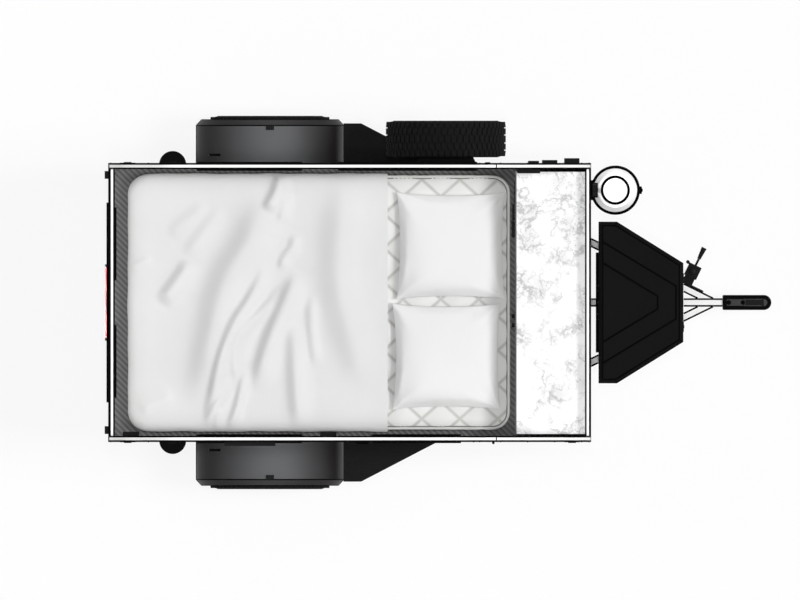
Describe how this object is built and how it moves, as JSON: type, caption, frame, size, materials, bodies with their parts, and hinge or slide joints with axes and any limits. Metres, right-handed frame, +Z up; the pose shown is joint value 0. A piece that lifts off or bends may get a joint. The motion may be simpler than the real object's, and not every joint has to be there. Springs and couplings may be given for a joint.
{
  "type": "teardrop trailer",
  "caption": "Small camping trailer with a bed cabin, worktop in its nose, side fenders, spare wheel, tongue box, gas cylinder and jack, with its roof off.",
  "frame": {"origin": "on the ground, midway between the tail lamps and the coupler's nose, on the centre line", "axes": "+X forward along the tongue, +Y to the trailer's left side, +Z up"},
  "size_m": [4, 2.24, 1.8261],
  "materials": {
    "body_white": "satin white composite skin",
    "trim_black": "black extruded trim",
    "chassis_black": "black powder coat",
    "tongue_grey": "light grey powder coat",
    "fender_black": "satin black powder coat",
    "box_black": "satin black powder coat",
    "tyre": "matt black rubber",
    "wheel_grey": "satin grey",
    "hub_iron": "cast, dark",
    "zinc": "zinc plated",
    "glass": "tinted",
    "lamp_red": "clear red",
    "lamp_black": "moulded black",
    "cylinder_white": "gloss white enamel",
    "valve_black": "moulded black",
    "cabinet_white": "white laminate",
    "worktop_marble": "polished white marble with grey veins",
    "floor_grey": "ribbed dark grey floor covering",
    "mattress_white": "quilted knit",
    "blanket_white": "soft woven cover",
    "pillow_white": "woven cotton",
    "fitting_black": "moulded black"
  },
  "bodies": {
    "trailer": {"axle_beam": "chassis_black", "blanket": "blanket_white", "cabinet": "cabinet_white", "chassis_crossmembers": "chassis_black", "chassis_rails": "chassis_black", "coupler_housing": "chassis_black", "coupler_latch": "chassis_black", "cylinder_tray": "chassis_black", "cylinder_valve": "valve_black", "fenders": "fender_black", "fixed_hinges": "trim_black", "floor_panel": "floor_grey", "front_wall": "body_white", "gas_cylinder": "cylinder_white", "inside_fittings": "fitting_black", "jack_body": "chassis_black", "jack_bracket": "chassis_black", "jack_crank": "chassis_black", "marker_lamps": "lamp_black", "mattress": "mattress_white", "nose_walls": "body_white", "pillows": "pillow_white", "rear_frame": "body_white", "rear_lamp_housings": "lamp_black", "rear_lamp_lenses": "lamp_red", "side_steps": "chassis_black", "side_wall_left": "body_white", "side_wall_right": "body_white", "spare_carrier": "chassis_black", "spare_rim": "wheel_grey", "spare_tyre": "tyre", "stabiliser_sleeves": "chassis_black", "tongue_arms": "tongue_grey", "tongue_box": "box_black", "tongue_tube": "tongue_grey", "trailing_arms": "chassis_black", "utility_inlets": "fitting_black", "wall_trim": "trim_black", "window_frames": "trim_black", "window_panes": "glass", "worktop": "worktop_marble"},
    "wheel_left": {"tyre_left": "tyre", "rim_left": "wheel_grey", "hub_left": "hub_iron"},
    "wheel_right": {"tyre_right": "tyre", "rim_right": "wheel_grey", "hub_right": "hub_iron"},
    "door": {"door_leaf": "body_white", "door_window": "trim_black", "door_pane": "glass", "door_fittings": "trim_black"},
    "hatch": {"rear_hatch": "body_white", "hatch_windows": "trim_black", "hatch_panes": "glass", "hatch_fittings": "trim_black"},
    "box_lid": {"tongue_box_lid": "box_black", "lid_hinge": "trim_black"},
    "jack_foot": {"jack_leg": "zinc"},
    "stabiliser_left": {"stabiliser_leg_left": "chassis_black"},
    "stabiliser_right": {"stabiliser_leg_right": "chassis_black"}
  },
  "joints": [
    {"name": "wheel_left_spin", "type": "hinge", "parent": "trailer", "child": "wheel_left", "pos_m": [-1.008, 1.01, 0.36], "axis": [0, 1, 0], "continuous": true},
    {"name": "wheel_right_spin", "type": "hinge", "parent": "trailer", "child": "wheel_right", "pos_m": [-1.008, -1.01, 0.36], "axis": [0, 1, 0], "continuous": true},
    {"name": "door_hinge", "type": "hinge", "parent": "trailer", "child": "door", "pos_m": [0.332, -0.8423, 1.135], "axis": [0, 0, 1], "range_deg": [0, 110]},
    {"name": "hatch_hinge", "type": "hinge", "parent": "trailer", "child": "hatch", "pos_m": [-1.9813, 0, 1.391], "axis": [0, 1, 0], "range_deg": [0, 88]},
    {"name": "box_lid_hinge", "type": "hinge", "parent": "trailer", "child": "box_lid", "pos_m": [0.9547, 0, 0.82405], "axis": [0, -1, 0], "range_deg": [0, 72]},
    {"name": "jack_slide", "type": "slide", "parent": "trailer", "child": "jack_foot", "axis": [0, 0, 1], "range_m": [0, 0.2]},
    {"name": "stabiliser_left_slide", "type": "slide", "parent": "trailer", "child": "stabiliser_left", "axis": [0, 0, 1], "range_m": [0, 0.16]},
    {"name": "stabiliser_right_slide", "type": "slide", "parent": "trailer", "child": "stabiliser_right", "axis": [0, 0, 1], "range_m": [0, 0.16]}
  ]
}
